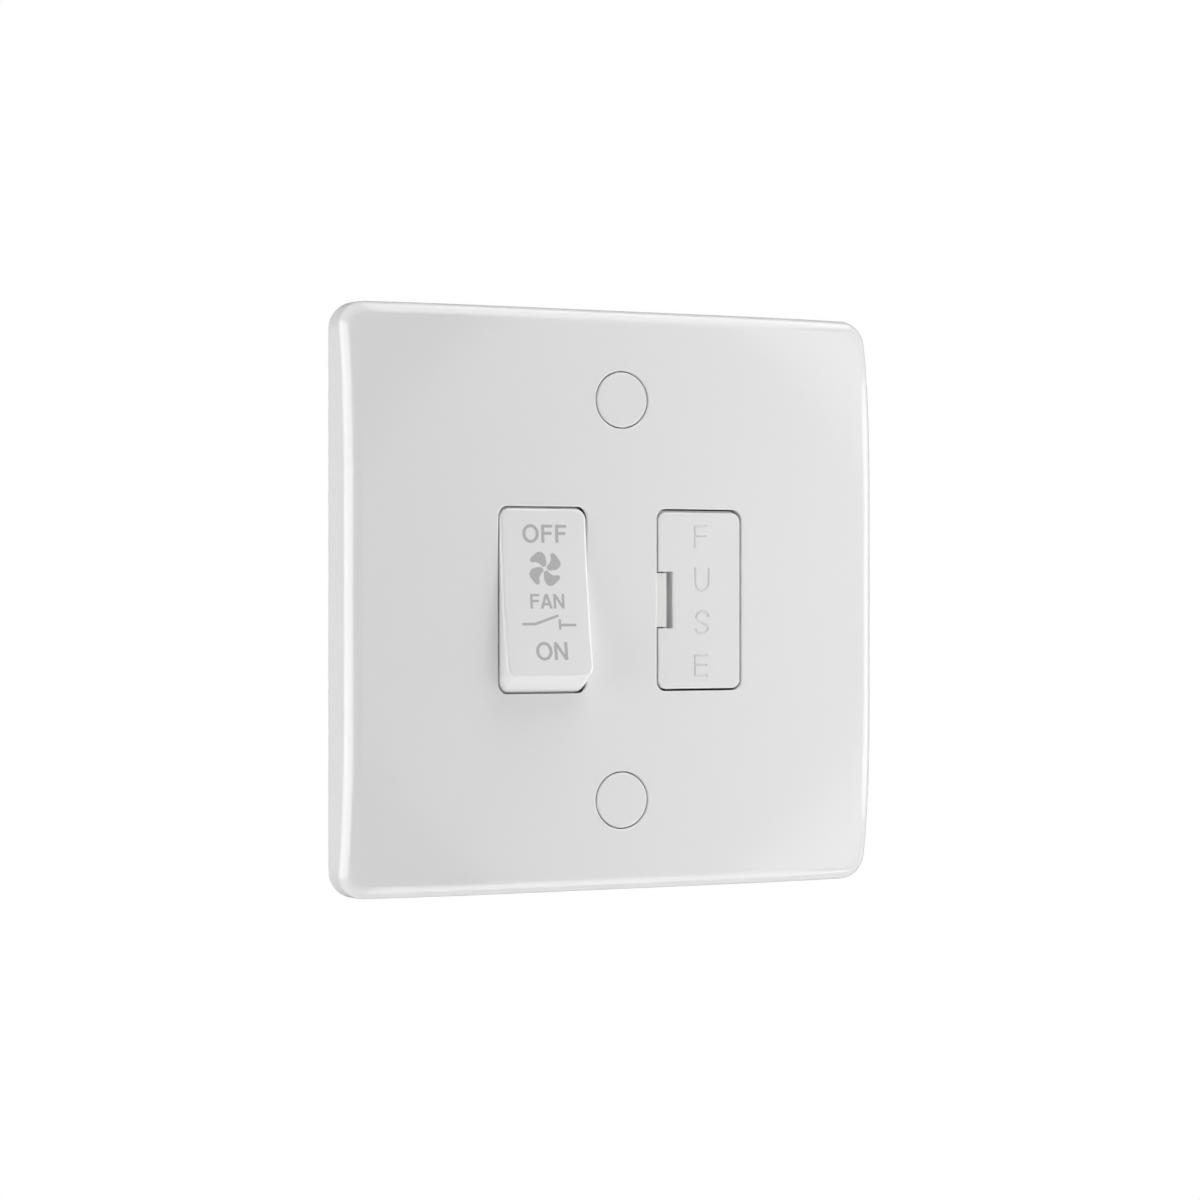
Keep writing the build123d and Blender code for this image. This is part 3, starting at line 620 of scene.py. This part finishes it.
def threadedScrew(node):
    # the head and neck of the CAD screw, on a core with a ridge wound along it
    thread = screwThread
    low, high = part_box(node)
    middle = Vector((low[0] + high[0], 0, low[2] + high[2])) / 2 / mm
    form = copyOf(node)
    cut = bmesh.ops.bisect_plane(
        form, geom=form.verts[:] + form.edges[:] + form.faces[:],
        plane_co=(0, thread["neckEnd"], 0), plane_no=(0, 1, 0), clear_outer=True,
    )
    rim = [edge for edge in cut["geom_cut"] if isinstance(edge, bmesh.types.BMEdge)]
    bmesh.ops.contextual_create(form, geom=rim)
    core, tip, chamfer = thread["core"], high[1] / mm, thread["tipChamfer"]
    rear = thread["neckEnd"] - thread["pitch"]  # the core starts inside the neck
    rod = [(0, rear), (core, rear), (core, tip - chamfer), (core - chamfer, tip), (0, tip)]
    wind(form, middle, rod, 1, 2 * thread["steps"])
    root, crest = core - thread["sunk"], thread["crest"]
    rootHalf, crestHalf = thread["rootHalf"], thread["crestHalf"]
    start = thread["neckEnd"] + rootHalf + thread["sunk"]
    turns = (tip - thread["runOut"] - rootHalf - start) / thread["pitch"]
    ridge = [
        (root, start - rootHalf),
        (crest, start - crestHalf),
        (crest, start + crestHalf),
        (root, start + rootHalf),
    ]
    wind(form, middle, ridge, turns, round(turns * thread["steps"]), thread["pitch"] / thread["steps"])
    bmesh.ops.remove_doubles(form, verts=form.verts, dist=mergeGap)
    bmesh.ops.recalc_face_normals(form, faces=form.faces)
    bmesh.ops.scale(form, vec=Vector((mm, mm, mm)), verts=form.verts)
    return smoothed(form)


for end in ("top", "bottom"):
    form = threadedScrew("fixing_screw_" + end)
    screw = addPiece("threaded_screw_" + end, form, finishes["plated_steel"], "base")
    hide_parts("fixing_screw_" + end)
print("fixing screws threaded")

# Camera: where the photograph was taken from, level with the plate's centre and to its left
shot = {"distance": 464.8 * mm, "left": math.radians(24.66), "lens": 91.12, "sensor": 36.0, "near": 0.01}
cameraData = bpy.data.cameras.new("shotCamera")
cameraData.lens = shot["lens"]
cameraData.sensor_width = shot["sensor"]
cameraData.clip_start = shot["near"]
camera = bpy.data.objects.new("shotCamera", cameraData)
towards = Vector((math.sin(shot["left"]), math.cos(shot["left"]), 0))
camera.location = -towards * shot["distance"]
camera.rotation_mode = "QUATERNION"
camera.rotation_quaternion = towards.to_track_quat("-Z", "Y")
bpy.context.scene.collection.objects.link(camera)
bpy.context.scene.camera = camera

# Softboxes light the object and cards only show in its gloss: places and sizes in metres
softboxes = {
    "keyBox": {"place": (0.509, -0.318, 0), "faces": (-0.848, 0.53, 0), "size": (0.72, 0.9),
               "radiance": 1.4, "only": "diffuse"},
    "keyCard": {"place": (0.5625, -0.1935, 0), "faces": (-0.848, 0.53, 0), "size": (0.347, 0.32),
                "radiance": 3.0, "only": "glossy"},
    "frontBox": {"place": (-0.1, -0.7, 0), "faces": (0.14, 0.99, 0), "size": (0.8, 0.8),
                 "radiance": 0.5, "only": "diffuse"},
    "leftBox": {"place": (-0.898, -0.06, 0), "faces": (1, 0, 0), "size": (0.6, 0.4),
                "radiance": 7.6, "only": "diffuse"},
    "leftCard": {"place": (-0.868, 0.083, 0), "faces": (1, 0, 0), "size": (1.29, 0.96),
                 "radiance": 3.9, "only": "glossy"},
    "topBox": {"place": (0.2, -0.3, 0.8), "faces": (0, 0, -1), "size": (0.6, 0.6),
               "radiance": 3.9, "only": "diffuse"},
    "topCard": {"place": (0.4, -0.31, 0.77), "faces": (0, 0, -1), "size": (0.8, 1.08),
                "radiance": 2.5, "only": "glossy"},
    "lowBox": {"place": (0.2, -0.3, -0.8), "faces": (0, 0, 1), "size": (0.6, 0.6),
               "radiance": 3.0, "only": "diffuse"},
    "lowCard": {"place": (0.45, -0.58, -0.77), "faces": (0, 0, 1), "size": (0.9, 0.85),
                "radiance": 2.5, "only": "glossy"},
    "backBox": {"place": (0, 1.0, 0), "faces": (0, -1, 0), "size": (0.9, 0.9),
                "radiance": 2.0, "only": "diffuse"},
}
for name, box in softboxes.items():
    lamp = bpy.data.lights.new(name, "AREA")
    lamp.shape = "RECTANGLE"
    lamp.size, lamp.size_y = box["size"]
    lamp.energy = box["radiance"] * math.pi * box["size"][0] * box["size"][1]
    holder = bpy.data.objects.new(name, lamp)
    holder.location = box["place"]
    holder.rotation_mode = "QUATERNION"
    holder.rotation_quaternion = Vector(box["faces"]).to_track_quat("-Z", "Y")
    holder.visible_camera = False
    holder.visible_diffuse = box["only"] == "diffuse"
    holder.visible_glossy = box["only"] == "glossy"
    bpy.context.scene.collection.objects.link(holder)

# World and floor: white where they are seen or mirrored, soft fill where they light the object
surround = {
    "fill": 0.10,
    "floorDrop": 1.0,
    "floorSize": 6.0,
    "floorWhite": (0.8, 0.8, 0.8),
    "floorGloss": 0.6,
}


def seenDirectly(tree):
    path = tree.nodes.new("ShaderNodeLightPath")
    total = path.outputs["Is Camera Ray"]
    for name in ("Is Glossy Ray", "Is Transmission Ray"):
        either = tree.nodes.new("ShaderNodeMath")
        either.operation = "MAXIMUM"
        tree.links.new(total, either.inputs[0])
        tree.links.new(path.outputs[name], either.inputs[1])
        total = either.outputs[0]
    return total


def addSheet(name, finish, place, faces, size):
    # a flat sheet of the studio, which is no part of the object
    form = bmesh.new()
    bmesh.ops.create_grid(form, x_segments=1, y_segments=1, size=0.5)
    bmesh.ops.scale(form, verts=form.verts, vec=(*size, 1))
    turned = Vector(faces).to_track_quat("Z", "Y").to_matrix().to_4x4()
    bmesh.ops.transform(form, matrix=Matrix.Translation(place) @ turned, verts=form.verts)
    mesh = bpy.data.meshes.new(name)
    form.to_mesh(mesh)
    form.free()
    mesh.materials.append(finish)
    sheet = bpy.data.objects.new(name, mesh)
    bpy.context.scene.collection.objects.link(sheet)
    sheet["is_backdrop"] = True
    return sheet


world = bpy.data.worlds.new("studio")
world.use_nodes = True
bpy.context.scene.world = world
background = world.node_tree.nodes["Background"]
background.inputs["Color"].default_value = (1, 1, 1, 1)
level = world.node_tree.nodes.new("ShaderNodeMapRange")
level.inputs["To Min"].default_value = surround["fill"]
level.inputs["To Max"].default_value = 1.0
world.node_tree.links.new(seenDirectly(world.node_tree), level.inputs["Value"])
world.node_tree.links.new(level.outputs[0], background.inputs["Strength"])

floorFinish = bpy.data.materials.new("paleFloor")
floorFinish.use_nodes = True
floorTree = floorFinish.node_tree
floorShader = floorTree.nodes["Principled BSDF"]
floorShader.inputs["Base Color"].default_value = (*surround["floorWhite"], 1)
floorShader.inputs["Roughness"].default_value = surround["floorGloss"]
glow = floorTree.nodes.new("ShaderNodeEmission")
pick = floorTree.nodes.new("ShaderNodeMixShader")
floorTree.links.new(seenDirectly(floorTree), pick.inputs[0])
floorTree.links.new(floorShader.outputs[0], pick.inputs[1])
floorTree.links.new(glow.outputs[0], pick.inputs[2])
floorTree.links.new(pick.outputs[0], floorTree.nodes["Material Output"].inputs["Surface"])
floorPlace = (0, 0, cadBounds[0].z - surround["floorDrop"])
addSheet("floor", floorFinish, floorPlace, (0, 0, 1), (surround["floorSize"], surround["floorSize"]))

# Flags show only in the gloss: a grey one behind keeps the rim's outline clear of the white,
# and a graded one in front, dark on the left and bright on the right, shades the face
flags = {
    "backFlag": {"place": towards * 1.3, "faces": -towards, "size": (3.0, 3.0),
                 "fade": (0.4, 0.8), "levels": (0.35, 0.35)},
    "frontFlag": {"place": (-0.07, -1.3, 0), "faces": (0, 1, 0), "size": (4.02, 2.2),
                  "fade": (0.4, 0.8), "levels": (0.0, 2.5)},
}
for name, flag in flags.items():
    flagFinish = Finish(name)
    across = flagFinish.node("ShaderNodeSeparateXYZ", None, {0: flagFinish.place()})
    graded = flagFinish.node("ShaderNodeMapRange", None, {
        "Value": across, "From Min": flag["fade"][0], "From Max": flag["fade"][1],
        "To Min": flag["levels"][0], "To Max": flag["levels"][1],
    })
    shown = flagFinish.node("ShaderNodeEmission", None, {"Strength": graded})
    flagFinish.feed(flagFinish.tree.nodes["Material Output"].inputs["Surface"], shown)
    sheet = addSheet(name, flagFinish.material, flag["place"], flag["faces"], flag["size"])
    for ray in ("camera", "diffuse", "transmission", "volume_scatter", "shadow"):
        setattr(sheet, "visible_" + ray, False)
bpy.context.scene.view_settings.view_transform = "Standard"
print("camera, lamps and floor set")

[[list(corner) for corner in pair] for pair in (cadBounds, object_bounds())]
